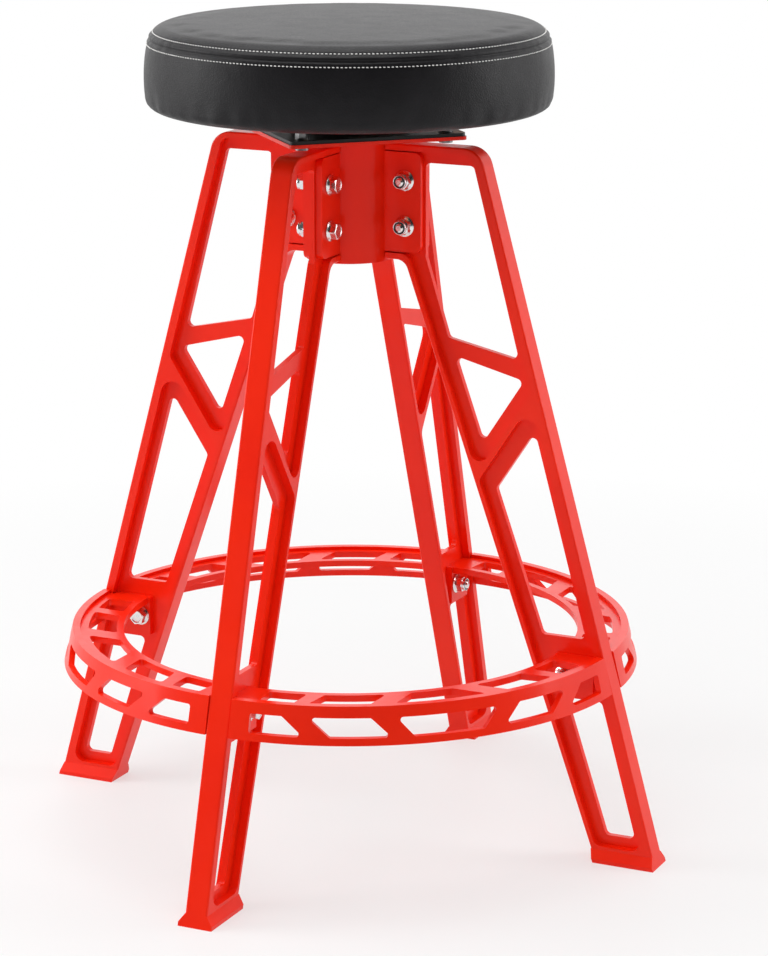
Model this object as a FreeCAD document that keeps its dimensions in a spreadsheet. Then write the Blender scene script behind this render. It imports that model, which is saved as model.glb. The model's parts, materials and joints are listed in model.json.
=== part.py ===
import FreeCAD, Part
import math
import os
import Sketcher

# Round swivel bar stool: four cast truss legs bolted between the ears of a
# central column, a bolted four-piece foot ring, a ball-bearing swivel and a
# padded seat. Millimetres, +Z up, origin on the floor under the seat's middle.

V = FreeCAD.Vector
doc = FreeCAD.newDocument("swivel_bar_stool")

SIZES = {
    # leg casting, drawn in a plane that holds the stool's axis
    "leg_top": 626.0,
    "head_deep": 101.5,
    "foot_outer": 301.6,
    "foot_wide": 57.2,
    "shoulder_out": 128.0728,
    "throat_in": 57.52065,
    "leg_thick": 20.8,
    "web_thick": 5.4,
    "bend_radius": 20.0,
    "throat_radius": 11.0,
    "top_rib": 5.7,
    "outer_rib": 8.6,
    "inner_rib": 4.6,
    "hub_rib": 5.5,
    "pocket_radius": 9.0,
    "tip_radius": 12.0,
    "edge_radius": 1.6,
    "pocket_low": 14.0,
    # the leg's diagonal: its slope, and how far inside the leg it stands at
    # one height
    "diag_slope": 0.655,
    "diag_high": 380.0,
    "diag_in": 46.994,
    "diag_rib": 6.2,
    "diag_rim_upper": 14.3,
    "diag_rim_lower": 18.6,
    # see-through windows of the leg and the rims beside them
    "rim_head": 12.8,
    "rim_upper": 14.9,
    "rim_middle": 16.2,
    "rim_lower": 15.8,
    "rim_inner": 15.5,
    "rim_tip": 15.8,
    "rim_ring": 18.6,
    "window_root": 74.7,
    "window_head_drop": 16.0,
    "window_knee_drop": 99.0,
    # the brace between the upper windows, measured up from the outer corner
    # of the window below it
    "brace_out_rise": 17.82572,
    "brace_in_rise": 32.12572,
    "brace_low_rise": 16.62572,
    "middle_low": 200.3,
    "lower_head": 145.0,
    "lower_low": 23.0,
    "window_radius": 4.5,
    # foot of the casting
    "foot_thick": 32.0,
    "foot_lip": 3.5,
    "foot_flare": 11.0,
    # central column and its clamping ears
    "hub_outer": 39.0,
    "hub_wall": 6.0,
    "hub_drop": 104.0,
    "hub_rise": 6.0,
    "root_gap": 0.3,
    "ear_end": 72.6,
    "ear_thick": 6.4,
    "ear_low_drop": 94.8,
    "ear_high_drop": 7.2,
    "ear_radius": 6.0,
    "hub_bolt_out": 57.2,
    "hub_bolt_drop": 71.7,
    "hub_bolt_pitch": 40.0,
    # eight millimetre flange bolts and their locking nuts
    "bolt_dia": 8.0,
    "hole_play": 0.2,
    "hex_flats": 13.0,
    "flange_dia": 18.5,
    "flange_high": 2.0,
    "head_high": 6.4,
    "nut_high": 6.2,
    "collar_high": 3.0,
    "collar_dia": 12.2,
    "insert_dia": 10.6,
    "insert_high": 2.2,
    "bolt_tip": 1.6,
    # foot ring
    "ring_top": 188.6,
    "ring_low": 156.5,
    "ring_outer_top": 250.6,
    "ring_outer_low": 258.6,
    "ring_band": 5.5,
    "ring_rim": 3.2,
    "ring_rim_wide": 6.8,
    "ring_plate": 5.8,
    "ring_inner": 205.0,
    "ring_gap": 0.4,
    "ring_round": 2.5,
    "tab_thick": 6.4,
    "tab_inner": 203.0,
    "tab_low": 149.5,
    "tab_outer": 239.5,
    "ring_bolt_out": 213.0,
    "ring_bolt_high": 167.5,
    "slot_in": 211.0,
    "slot_out": 236.5,
    "band_slot_low": 162.6,
    "band_slot_top": 179.0,
    # top plate and swivel
    "plate_side": 160.0,
    "plate_corner": 5.0,
    "plate_hole": 30.0,
    "plate_thick": 3.0,
    "swivel_side": 158.0,
    "swivel_plate": 3.0,
    "swivel_high": 19.5,
    "plate_bolt_out": 92.0,
    "plate_bolt_dia": 6.0,
    "plate_nut_flats": 10.0,
    "plate_nut_high": 5.4,
    "plate_washer_dia": 12.5,
    "plate_washer": 1.2,
    "plate_head_high": 3.3,
    "plate_head_dia": 12.0,
    "plate_bolt_tip": 1.4,
    "ball_dia": 7.0,
    "ball_play": 0.05,
    "ball_track": 44.0,
    "ball_count": 12,
    "race_wide": 7.5,
    "race_lip": 1.2,
    "cage_wide": 5.6,
    "cage_thick": 1.6,
    "rivet_outer": 12.0,
    "rivet_bore": 8.5,
    "rivet_flange": 16.0,
    "rivet_lip": 1.4,
    "rivet_play": 0.08,
    # seat
    "board_thick": 12.0,
    "board_radius": 160.0,
    "board_hole": 20.0,
    "foam_gap": 0.3,
    "seat_low_radius": 176.9,
    "seat_round": 13.0,
    "wall_bow": 145.0,
    "seam_radius": 174.6,
    "seam_rise": 60.5,
    "shoulder_bow": 18.5,
    "crest_radius": 160.0,
    "crest_rise": 72.1,
    "seat_thick": 74.5,
    "screw_out": 66.0,
    "screw_dia": 5.0,
    "screw_head_dia": 10.0,
    "screw_head": 2.8,
    "screw_length": 13.0,
    "tee_flange_dia": 19.0,
    "tee_flange": 1.5,
    "tee_barrel_dia": 7.6,
    "tee_barrel": 9.0,
    "cloth_thick": 0.8,
    "cloth_outer": 158.0,
    "cloth_inner": 114.0,
}

sheet = doc.addObject("Spreadsheet::Sheet", "dims")
for row, (alias, value) in enumerate(SIZES.items(), start=1):
    sheet.set("A%d" % row, alias)
    sheet.set("B%d" % row, str(value))
    sheet.setAlias("B%d" % row, alias)
doc.recompute()

# sizes that follow from the ones above
LEG_UNDER = "(dims.leg_top - dims.head_deep)"
OUTER_SLOPE = "((dims.foot_outer - dims.shoulder_out) / dims.leg_top)"
FOOT_INNER = "(dims.foot_outer - dims.foot_wide)"
INNER_SLOPE = "((%s - dims.throat_in) / %s)" % (FOOT_INNER, LEG_UNDER)
HUB_LOW = "(dims.leg_top - dims.hub_drop)"
HUB_HIGH = "(dims.leg_top + dims.hub_rise)"
EAR_LOW = "(dims.leg_top - dims.ear_low_drop)"
EAR_HIGH = "(dims.leg_top - dims.ear_high_drop)"
HUB_BOLT_LOW = "(dims.leg_top - dims.hub_bolt_drop)"
ROOT = "(dims.hub_outer + dims.root_gap)"
HALF_WEB = "(dims.web_thick / 2)"
HALF_LEG = "(dims.leg_thick / 2)"
EAR_FACE = "(dims.web_thick / 2 + dims.ear_thick)"
TAB_FACE = "(dims.web_thick / 2 + dims.tab_thick)"
BOLT_HOLE = "(dims.bolt_dia / 2 + dims.hole_play)"
NUT_HOLE = "(dims.bolt_dia / 2 + dims.hole_play / 2)"
RING_PLATE_TOP = "(dims.ring_top - dims.ring_rim)"
RING_PLATE_LOW = "(dims.ring_top - dims.ring_rim - dims.ring_plate)"
PLATE_TOP = "(%s + dims.plate_thick)" % HUB_HIGH
SWIVEL_FACE = "(%s + dims.swivel_plate)" % PLATE_TOP
BALL_HIGH = "(%s + dims.swivel_high / 2)" % PLATE_TOP
SEAT_LOW = "(%s + dims.swivel_high)" % PLATE_TOP
BOARD_TOP = "(%s + dims.board_thick)" % SEAT_LOW


def num(formula):
    """Present value of a formula made of the sheet's names."""
    return float(sheet.evalExpression(str(formula)))


def outer(height, inset="0"):
    """Radius of the leg's outer face at a height, less an inset."""
    return "(dims.foot_outer - %s * (%s) - (%s))" % (OUTER_SLOPE, height, inset)


def inner(height, inset="0"):
    """Radius of the leg's inner face at a height, plus an inset."""
    return "(%s - %s * (%s) + (%s))" % (FOOT_INNER, INNER_SLOPE, height, inset)


def diagonal_meets(offset, face, inset):
    """Corner where a line beside the diagonal meets a line beside a leg face."""
    there = inner("dims.diag_high", "dims.diag_in")
    start = "(%s + (%s) - dims.diag_slope * dims.diag_high)" % (there, offset)
    if face == "outer":
        reach = "dims.foot_outer - (%s)" % inset
        slopes = "(dims.diag_slope + %s)" % OUTER_SLOPE
    else:
        reach = "%s + (%s)" % (FOOT_INNER, inset)
        slopes = "(dims.diag_slope + %s)" % INNER_SLOPE
    height = "((%s - %s) / %s)" % (reach, start, slopes)
    return "(%s + dims.diag_slope * %s)" % (start, height), height


def ring_face(height):
    """Outer radius of the foot ring's band at a height."""
    slope = "(dims.ring_outer_low - dims.ring_outer_top) / (dims.ring_top - dims.ring_low)"
    return "(dims.ring_outer_top + %s * (dims.ring_top - (%s)))" % (slope, height)


def new_body(label, several=False):
    body = doc.addObject("PartDesign::Body", label)
    body.Label = label
    body.AllowCompound = several
    return body


def origin_item(body, role):
    for item in body.Origin.OriginFeatures:
        if item.Role == role:
            return item
    raise RuntimeError("no origin item " + role)


def new_sketch(body, name, role, offset=None, turn=None):
    """Sketch on an origin plane, moved along its normal or turned upright."""
    sketch = body.newObject("Sketcher::SketchObject", name)
    sketch.AttachmentSupport = (origin_item(body, role), [""])
    sketch.MapMode = "FlatFace"
    if turn is not None:
        sketch.AttachmentOffset = FreeCAD.Placement(V(), FreeCAD.Rotation(V(0, 1, 0), turn))
    if offset is not None:
        sketch.setExpression("AttachmentOffset.Base.z", offset)
    return sketch


def pin(sketch, geometry, point, across=None, up=None):
    """Ties a point of a sketch to formulas measured from the origin."""
    for kind, formula, axis in (("DistanceX", across, -2), ("DistanceY", up, -1)):
        if formula is None:
            continue
        here = num(formula)
        if abs(here) < 1e-7:
            sketch.addConstraint(Sketcher.Constraint("PointOnObject", geometry, point, axis))
            continue
        rule = Sketcher.Constraint(kind, -1, 1, geometry, point, here)
        index = sketch.addConstraint(rule)
        sketch.setExpression("Constraints[%d]" % index, str(formula))


def size_radius(sketch, geometry, radius):
    index = sketch.addConstraint(Sketcher.Constraint("Radius", geometry, num(radius)))
    sketch.setExpression("Constraints[%d]" % index, str(radius))


def outline(sketch, corners, bows=None):
    """Closed loop through corners; a bow's side is an arc, bulging outward.

    The corners run so that the loop's outside lies to the right, and the
    bows are the radii of the sides that start at those corners.
    """
    bows = bows or {}
    first = sketch.GeometryCount
    points = [V(num(across), num(up), 0) for across, up in corners]
    count = len(points)
    for i, start in enumerate(points):
        end = points[(i + 1) % count]
        if i not in bows:
            sketch.addGeometry(Part.LineSegment(start, end))
            continue
        chord = end - start
        radius = num(bows[i])
        rise = radius - math.sqrt(radius ** 2 - (chord.Length / 2) ** 2)
        outward = V(chord.y, -chord.x, 0).normalize()
        sketch.addGeometry(Part.Arc(start, (start + end) * 0.5 + outward * rise, end))
    for i, (across, up) in enumerate(corners):
        after = first + (i + 1) % count
        sketch.addConstraint(Sketcher.Constraint("Coincident", first + i, 2, after, 1))
        pin(sketch, first + i, 1, across, up)
    for i, radius in bows.items():
        size_radius(sketch, first + i, radius)


def circle(sketch, across, up, radius):
    centre = V(num(across), num(up), 0)
    index = sketch.addGeometry(Part.Circle(centre, V(0, 0, 1), num(radius)))
    pin(sketch, index, 3, across, up)
    size_radius(sketch, index, radius)


def diamond(sketch, side):
    """Square with its corners on the sketch's axes."""
    reach = "(%s) / sqrt(2)" % side
    outline(sketch, [(reach, "0"), ("0", reach), ("-" + reach, "0"), ("0", "-" + reach)])


def hexagon(sketch, across, up, flats):
    """Hexagon with two level sides, given across its flats."""
    corners = []
    for side, lift in ((1, 0), (0.5, 1), (-0.5, 1), (-1, 0), (-0.5, -1), (0.5, -1)):
        x = "(%s) + %s * (%s) / sqrt(3)" % (across, side, flats)
        y = "(%s) + %s * (%s) / 2" % (up, lift, flats)
        corners.append((x, y))
    outline(sketch, corners)


def pad(body, sketch, length, symmetric=False):
    feature = body.newObject("PartDesign::Pad", "pad_" + sketch.Name)
    feature.Profile = sketch
    feature.setExpression("Length", str(length))
    if symmetric:
        feature.SideType = "Symmetric"
    doc.recompute()
    return feature


def pocket(body, sketch, length, symmetric=False, back=False):
    before = body.Shape.Volume
    feature = body.newObject("PartDesign::Pocket", "cut_" + sketch.Name)
    feature.Profile = sketch
    feature.setExpression("Length", str(length))
    if symmetric:
        feature.SideType = "Symmetric"
    feature.Reversed = back
    doc.recompute()
    if body.Shape.Volume > before - 1e-3:
        raise RuntimeError("nothing was cut by " + sketch.Name)
    return feature


def revolve(body, sketch, angle=360.0, cut=False):
    before = body.Shape.Volume if cut else 0.0
    kind = "PartDesign::Groove" if cut else "PartDesign::Revolution"
    feature = body.newObject(kind, "turn_" + sketch.Name)
    feature.Profile = sketch
    feature.ReferenceAxis = (sketch, ["V_Axis"])
    feature.Angle = angle
    doc.recompute()
    if cut and body.Shape.Volume > before - 1e-3:
        raise RuntimeError("nothing was cut by " + sketch.Name)
    return feature


def around(body, originals, count, name):
    """Repeats features round the stool's axis."""
    feature = body.newObject("PartDesign::PolarPattern", name)
    feature.Originals = originals
    feature.Axis = (origin_item(body, "Z_Axis"), [""])
    feature.Angle = 360
    feature.Occurrences = count
    body.Tip = feature
    doc.recompute()
    return feature


def edges_on(shape, lines, reach=0.3):
    """Names of a shape's straight edges that lie on lines (point, direction)."""
    names = []
    for index, edge in enumerate(shape.Edges, start=1):
        if edge.Degenerated or edge.Curve.TypeId != "Part::GeomLine":
            continue
        ends = [vertex.Point for vertex in edge.Vertexes]
        for point, direction in lines:
            if all((end - point).cross(direction).Length < reach for end in ends):
                names.append("Edge%d" % index)
                break
    return names


def round_edges(body, lines, radius, label):
    """Rounds the body's edges that lie on lines."""
    base = body.Tip
    names = edges_on(base.Shape, lines)
    if len(names) < len(lines):
        raise RuntimeError("edges are missing for %s: %d of %d" % (label, len(names), len(lines)))
    feature = body.newObject("PartDesign::Fillet", label)
    feature.Base = (base, names)
    feature.setExpression("Radius", str(radius))
    doc.recompute()
    return feature


def cross_lines(corners):
    """Lines along Y through corners drawn in the leg's plane."""
    return [(V(num(across), 0, num(up)), V(0, 1, 0)) for across, up in corners]


def upright_lines(corners):
    return [(V(num(across), num(up), 0), V(0, 0, 1)) for across, up in corners]


def side_lines(stretches):
    """Lines along straight stretches of the leg's outline, on both its sides."""
    lines = []
    for (start_across, start_up), (end_across, end_up) in stretches:
        for side in (-1, 1):
            start = V(num(start_across), side * num(HALF_LEG), num(start_up))
            end = V(num(end_across), side * num(HALF_LEG), num(end_up))
            lines.append((start, (end - start).normalize()))
    return lines


def turned(body, angle):
    body.Placement = FreeCAD.Placement(V(), FreeCAD.Rotation(V(0, 0, 1), angle))
    return body


# leg casting: a thin web with four windows and a thick frame of ribs

BEND = (outer("dims.leg_top"), "dims.leg_top")
THROAT = (inner(LEG_UNDER), LEG_UNDER)
OUTLINE = [
    (ROOT, "dims.leg_top"),
    BEND,
    (outer("0"), "0"),
    (inner("0"), "0"),
    THROAT,
    (ROOT, LEG_UNDER),
]

RIB_SHELF = "(%s + dims.hub_rib)" % LEG_UNDER
POCKET_HEAD = "(dims.leg_top - dims.top_rib)"
UPPER_POCKET = [
    (ROOT, RIB_SHELF),
    (inner(RIB_SHELF, "dims.inner_rib"), RIB_SHELF),
    diagonal_meets("-dims.diag_rib / 2", "inner", "dims.inner_rib"),
    diagonal_meets("-dims.diag_rib / 2", "outer", "dims.outer_rib"),
    (outer(POCKET_HEAD, "dims.outer_rib"), POCKET_HEAD),
    (ROOT, POCKET_HEAD),
]
LOWER_POCKET = [
    diagonal_meets("dims.diag_rib / 2", "outer", "dims.outer_rib"),
    (outer("dims.pocket_low", "dims.outer_rib"), "dims.pocket_low"),
    (inner("dims.pocket_low", "dims.inner_rib"), "dims.pocket_low"),
    diagonal_meets("dims.diag_rib / 2", "inner", "dims.inner_rib"),
]

ABOVE_DIAGONAL = "-(dims.diag_rib / 2 + dims.diag_rim_upper)"
BELOW_DIAGONAL = "dims.diag_rib / 2 + dims.diag_rim_lower"
WINDOW_HEAD = "(dims.leg_top - dims.window_head_drop)"
WINDOW_KNEE = "(dims.leg_top - dims.window_knee_drop)"
BRACE_CORNER = diagonal_meets(ABOVE_DIAGONAL, "outer", "dims.rim_upper")
BRACE_OUT = "(%s + dims.brace_out_rise)" % BRACE_CORNER[1]
BRACE_IN = "(%s + dims.brace_in_rise)" % BRACE_CORNER[1]
BRACE_LOW = "(%s + dims.brace_low_rise)" % BRACE_CORNER[1]
WINDOWS = [
    [
        ("dims.window_root", WINDOW_HEAD),
        (outer(WINDOW_HEAD, "dims.rim_head"), WINDOW_HEAD),
        (outer(BRACE_OUT, "dims.rim_upper"), BRACE_OUT),
        (inner(BRACE_IN, "dims.rim_inner"), BRACE_IN),
        ("dims.window_root", WINDOW_KNEE),
    ],
    [
        (inner(BRACE_LOW, "dims.rim_tip"), BRACE_LOW),
        BRACE_CORNER,
        diagonal_meets(ABOVE_DIAGONAL, "inner", "dims.rim_tip"),
    ],
    [
        diagonal_meets(BELOW_DIAGONAL, "outer", "dims.rim_middle"),
        (outer("dims.middle_low", "dims.rim_middle"), "dims.middle_low"),
        (inner("dims.middle_low", "dims.rim_inner"), "dims.middle_low"),
        diagonal_meets(BELOW_DIAGONAL, "inner", "dims.rim_inner"),
    ],
    [
        (outer("dims.lower_head", "dims.rim_lower"), "dims.lower_head"),
        (outer("dims.lower_low", "dims.rim_lower"), "dims.lower_low"),
        (inner("dims.lower_low", "dims.rim_inner"), "dims.lower_low"),
        (inner("dims.lower_head", "dims.rim_ring"), "dims.lower_head"),
    ],
]


def foot_section(body, name, height, thick):
    section = new_sketch(body, name, "XY_Plane", height)
    half = "(%s) / 2" % thick
    outline(section, [
        (inner(height), "-" + half),
        (outer(height), "-" + half),
        (outer(height), half),
        (inner(height), half),
    ])
    return section


def make_leg(label, angle):
    body = new_body(label)
    web = new_sketch(body, label + "_web", "XZ_Plane")
    outline(web, OUTLINE)
    for window in WINDOWS:
        outline(web, window)
    pad(body, web, "dims.web_thick", symmetric=True)

    ribs = new_sketch(body, label + "_ribs", "XZ_Plane")
    outline(ribs, OUTLINE + UPPER_POCKET)
    outline(ribs, LOWER_POCKET)
    pad(body, ribs, "dims.leg_thick", symmetric=True)
    round_edges(body, cross_lines([BEND]), "dims.bend_radius", label + "_bend")
    round_edges(body, cross_lines([THROAT]), "dims.throat_radius", label + "_throat")
    rims = side_lines([OUTLINE[1:3], OUTLINE[3:5]])
    round_edges(body, rims, "dims.edge_radius", label + "_cast_edges")

    # the foot spreads downward to a flat pad
    for name, low, high, thick in (
        ("lip", "0", "dims.foot_lip", "dims.foot_thick"),
        ("flare", "dims.foot_lip", "dims.foot_flare", "dims.leg_thick"),
    ):
        start = foot_section(body, "%s_%s_low" % (label, name), low, "dims.foot_thick")
        end = foot_section(body, "%s_%s_high" % (label, name), high, thick)
        foot = body.newObject("PartDesign::AdditiveLoft", "%s_%s" % (label, name))
        foot.Profile = start
        foot.Sections = [end]
        foot.Ruled = True
        doc.recompute()

    holes = new_sketch(body, label + "_bolt_holes", "XZ_Plane")
    circle(holes, "dims.hub_bolt_out", HUB_BOLT_LOW, BOLT_HOLE)
    circle(holes, "dims.hub_bolt_out", HUB_BOLT_LOW + " + dims.hub_bolt_pitch", BOLT_HOLE)
    circle(holes, "dims.ring_bolt_out", "dims.ring_bolt_high", BOLT_HOLE)
    pocket(body, holes, "dims.leg_thick", symmetric=True)

    corners = [corner for window in WINDOWS for corner in window]
    round_edges(body, cross_lines(corners), "dims.window_radius", label + "_window_corners")
    corners = UPPER_POCKET[1:5] + LOWER_POCKET[1:]
    round_edges(body, cross_lines(corners), "dims.pocket_radius", label + "_pocket_corners")
    round_edges(body, cross_lines(LOWER_POCKET[:1]), "dims.tip_radius", label + "_pocket_tip")
    return turned(body, angle)


# central column with a pair of ears either side of each leg

def make_hub():
    body = new_body("hub_casting")
    tube = new_sketch(body, "hub_tube", "XY_Plane", HUB_LOW)
    circle(tube, "0", "0", "dims.hub_outer")
    pad(body, tube, HUB_HIGH + " - " + HUB_LOW)
    ears = []
    for name, offset in (("near", HALF_WEB), ("far", "-" + EAR_FACE)):
        ear = new_sketch(body, "hub_ear_" + name, "XZ_Plane", offset)
        outline(ear, [
            ("dims.hub_outer / 2", EAR_LOW),
            ("dims.ear_end", EAR_LOW),
            ("dims.ear_end", EAR_HIGH),
            ("dims.hub_outer / 2", EAR_HIGH),
        ])
        ears.append(pad(body, ear, "dims.ear_thick"))
    around(body, ears, 4, "hub_ears")

    ends = []
    for height in (num(EAR_LOW), num(EAR_HIGH)):
        for side in (-num("dims.ear_end"), num("dims.ear_end")):
            ends.append((V(side, 0, height), V(0, 1, 0)))
            ends.append((V(0, side, height), V(1, 0, 0)))
    round_edges(body, ends, "dims.ear_radius", "hub_ear_corners")

    bore = new_sketch(body, "hub_bore", "XY_Plane", HUB_LOW)
    circle(bore, "0", "0", "dims.hub_outer - dims.hub_wall")
    pocket(body, bore, HUB_HIGH + " - " + HUB_LOW, back=True)
    for name, role in (("x", "XZ_Plane"), ("y", "YZ_Plane")):
        holes = new_sketch(body, "hub_holes_" + name, role)
        for side in ("", "-"):
            for lift in ("0", "dims.hub_bolt_pitch"):
                circle(holes, side + "dims.hub_bolt_out", HUB_BOLT_LOW + " + " + lift, BOLT_HOLE)
        pocket(body, holes, "2 * %s + 2" % EAR_FACE, symmetric=True)
    return body


# flange bolts, locking nuts and the nuts' plastic rings: one set for the
# column's eight bolts and one for the foot ring's four

BOLT_SETS = {
    "hub": (EAR_FACE, [
        ("dims.hub_bolt_out", HUB_BOLT_LOW),
        ("dims.hub_bolt_out", HUB_BOLT_LOW + " + dims.hub_bolt_pitch"),
    ]),
    "ring": (TAB_FACE, [("dims.ring_bolt_out", "dims.ring_bolt_high")]),
}


def make_group(label, role, spots, stages, count=4):
    """Equal turned or hexagonal pieces at spots, repeated round the axis.

    Each stage is (offset of its plane, height, outline, width, bore radius).
    """
    body = new_body(label, several=True)
    pads = []
    for step, (offset, height, form, width, bore) in enumerate(stages):
        sketch = new_sketch(body, "%s_stage_%d" % (label, step), role, offset)
        for across, up in spots:
            if form == "hex":
                hexagon(sketch, across, up, width)
            else:
                circle(sketch, across, up, "(%s) / 2" % width)
            if bore:
                circle(sketch, across, up, bore)
        pads.append(pad(body, sketch, height))
    around(body, pads, count, label + "_pattern")
    return body


def make_bolt_set(kind):
    face, spots = BOLT_SETS[kind]
    head = "-%s - dims.flange_high" % face
    grip = "2 * %s + dims.flange_high + dims.nut_high + dims.collar_high + dims.bolt_tip" % face
    bolts = make_group(kind + "_bolts", "XZ_Plane", spots, [
        (head, "dims.flange_high", "round", "dims.flange_dia", None),
        (head + " - dims.head_high", "dims.head_high", "hex", "dims.hex_flats", None),
        ("-" + face, grip, "round", "dims.bolt_dia", None),
    ])
    collar = "%s + dims.flange_high + dims.nut_high" % face
    nuts = make_group(kind + "_nuts", "XZ_Plane", spots, [
        (face, "dims.flange_high", "round", "dims.flange_dia", NUT_HOLE),
        (face + " + dims.flange_high", "dims.nut_high", "hex", "dims.hex_flats", NUT_HOLE),
        (collar, "dims.collar_high", "round", "dims.collar_dia", "dims.insert_dia / 2"),
    ])
    inserts = make_group(kind + "_nut_inserts", "XZ_Plane", spots, [
        (collar, "dims.insert_high", "round", "dims.insert_dia", NUT_HOLE),
    ])
    return [bolts, nuts, inserts]


# foot ring: quarter segments with windows in the plate and in the band; the
# angles are measured from a segment's middle, first the inner or upper edge

PLATE_SLOTS = [
    ((-38.0, -29.1), (-38.0, -30.9)),
    ((-25.0, -10.9), (-27.9, -15.3)),
    ((-5.1, 5.1), (-10.1, 10.1)),
    ((10.9, 25.0), (15.3, 27.9)),
    ((29.1, 38.0), (30.9, 38.0)),
]
BAND_SLOTS = [
    ((-38.6, -32.3), (-38.6, -27.9)),
    ((-27.4, -15.3), (-23.0, -11.3)),
    ((-10.4, 10.4), (-7.0, 7.0)),
    ((15.3, 27.4), (11.3, 23.0)),
    ((32.3, 38.6), (27.9, 38.6)),
]
MIDDLE = 45.0


def plate_slot(sketch, pairs):
    """Slot between two arcs round the axis; returns its four corners."""
    corners = []
    first = sketch.GeometryCount
    for radius, pair in (("dims.slot_in", pairs[0]), ("dims.slot_out", pairs[1])):
        start, end = [MIDDLE + angle for angle in pair]
        ring = Part.Circle(V(), V(0, 0, 1), num(radius))
        arc = Part.ArcOfCircle(ring, math.radians(start), math.radians(end))
        index = sketch.addGeometry(arc)
        sketch.addConstraint(Sketcher.Constraint("Coincident", index, 3, -1, 1))
        size_radius(sketch, index, radius)
        for point, angle in ((1, start), (2, end)):
            across = "%s * cos(%s deg)" % (radius, angle)
            up = "%s * sin(%s deg)" % (radius, angle)
            corners.append((across, up))
            if angle < MIDDLE:
                pin(sketch, index, point, up=up)
            else:
                pin(sketch, index, point, across=across)
    spots = [V(num(across), num(up), 0) for across, up in corners]
    for point in (1, 2):
        index = sketch.addGeometry(Part.LineSegment(spots[point - 1], spots[point + 1]))
        sketch.addConstraint(Sketcher.Constraint("Coincident", index, 1, first, point))
        sketch.addConstraint(Sketcher.Constraint("Coincident", index, 2, first + 1, point))
    return corners


def band_slot(body, name, pairs):
    """Cuts a slot through the band, straight out from the slot's own middle."""
    middle = MIDDLE + sum(pairs[0] + pairs[1]) / 4
    sketch = new_sketch(body, name, "XZ_Plane", turn=middle + 90)
    corners = []
    for height, pair in (("dims.band_slot_top", pairs[0]), ("dims.band_slot_low", pairs[1][::-1])):
        for angle in pair:
            across = "%s * sin(%s deg)" % (ring_face(height), MIDDLE + angle - middle)
            corners.append((across, height))
    outline(sketch, corners)
    pocket(body, sketch, "dims.ring_outer_low + 20", back=True)
    ahead = V(math.cos(math.radians(middle)), math.sin(math.radians(middle)), 0)
    aside = V(-ahead.y, ahead.x, 0)
    return [(aside * num(across) + V(0, 0, num(up)), ahead) for across, up in corners]


def make_segment(label, angle):
    body = new_body(label)
    profile = new_sketch(body, label + "_profile", "XZ_Plane")
    outline(profile, [
        (ring_face("dims.ring_top"), "dims.ring_top"),
        (ring_face("dims.ring_low"), "dims.ring_low"),
        (ring_face("dims.ring_low") + " - dims.ring_band", "dims.ring_low"),
        (ring_face(RING_PLATE_LOW) + " - dims.ring_band", RING_PLATE_LOW),
        ("dims.ring_inner", RING_PLATE_LOW),
        ("dims.ring_inner", RING_PLATE_TOP),
        (ring_face(RING_PLATE_TOP) + " - dims.ring_rim_wide", RING_PLATE_TOP),
        (ring_face("dims.ring_top") + " - dims.ring_rim_wide", "dims.ring_top"),
    ])
    revolve(body, profile, 90.0)

    tab_side = [
        ("dims.tab_inner", "dims.tab_low"),
        ("dims.tab_outer", "dims.tab_low"),
        ("dims.tab_outer", RING_PLATE_TOP),
        ("dims.tab_inner", RING_PLATE_TOP),
    ]
    for name, role, offset in (("start", "XZ_Plane", "-" + TAB_FACE), ("end", "YZ_Plane", HALF_WEB)):
        tab = new_sketch(body, "%s_tab_%s" % (label, name), role, offset)
        outline(tab, tab_side)
        pad(body, tab, "dims.tab_thick")

    # each end clears the leg's web and, farther out, the leg's outer rib
    ends = new_sketch(body, label + "_ends", "XY_Plane", "dims.tab_low - 5")
    rib_side = "(%s + dims.ring_gap)" % HALF_LEG
    near = "(dims.tab_inner - 40)"
    far = "(dims.ring_outer_low + 10)"
    notch = [
        (near, "-10"),
        (far, "-10"),
        (far, rib_side),
        ("dims.tab_outer", rib_side),
        ("dims.tab_outer", HALF_WEB),
        (near, HALF_WEB),
    ]
    outline(ends, notch)
    outline(ends, [(up, across) for across, up in notch[::-1]])
    pocket(body, ends, "dims.ring_top - dims.tab_low + 10", back=True)

    slots = new_sketch(body, label + "_plate_slots", "XY_Plane", RING_PLATE_LOW + " - 1")
    corners = []
    for pairs in PLATE_SLOTS:
        corners += plate_slot(slots, pairs)
    pocket(body, slots, "dims.ring_plate + 2", back=True)
    lines = upright_lines(corners)
    for index, pairs in enumerate(BAND_SLOTS):
        lines += band_slot(body, "%s_band_slot_%d" % (label, index), pairs)
    round_edges(body, lines, "dims.ring_round", label + "_slot_corners")

    for name, role in (("start", "XZ_Plane"), ("end", "YZ_Plane")):
        hole = new_sketch(body, "%s_hole_%s" % (label, name), role)
        circle(hole, "dims.ring_bolt_out", "dims.ring_bolt_high", BOLT_HOLE)
        pocket(body, hole, "2 * %s + 4" % TAB_FACE, symmetric=True)
    return turned(body, angle)


# top plate and swivel

PLATE_BOLT_HOLE = "(dims.plate_bolt_dia / 2 + dims.hole_play)"
SCREW_HOLE = "(dims.screw_dia / 2 + dims.hole_play)"
CROSS = ((1, 0), (0, 1), (-1, 0), (0, -1))
CORNERS = ((1, 1), (-1, 1), (-1, -1), (1, -1))
PLATE_SPOTS = [("%d * dims.plate_bolt_out" % x, "%d * dims.plate_bolt_out" % y) for x, y in CROSS]
SCREW_SPOTS = [("%d * dims.screw_out / sqrt(2)" % x, "%d * dims.screw_out / sqrt(2)" % y)
               for x, y in CORNERS]


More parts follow.
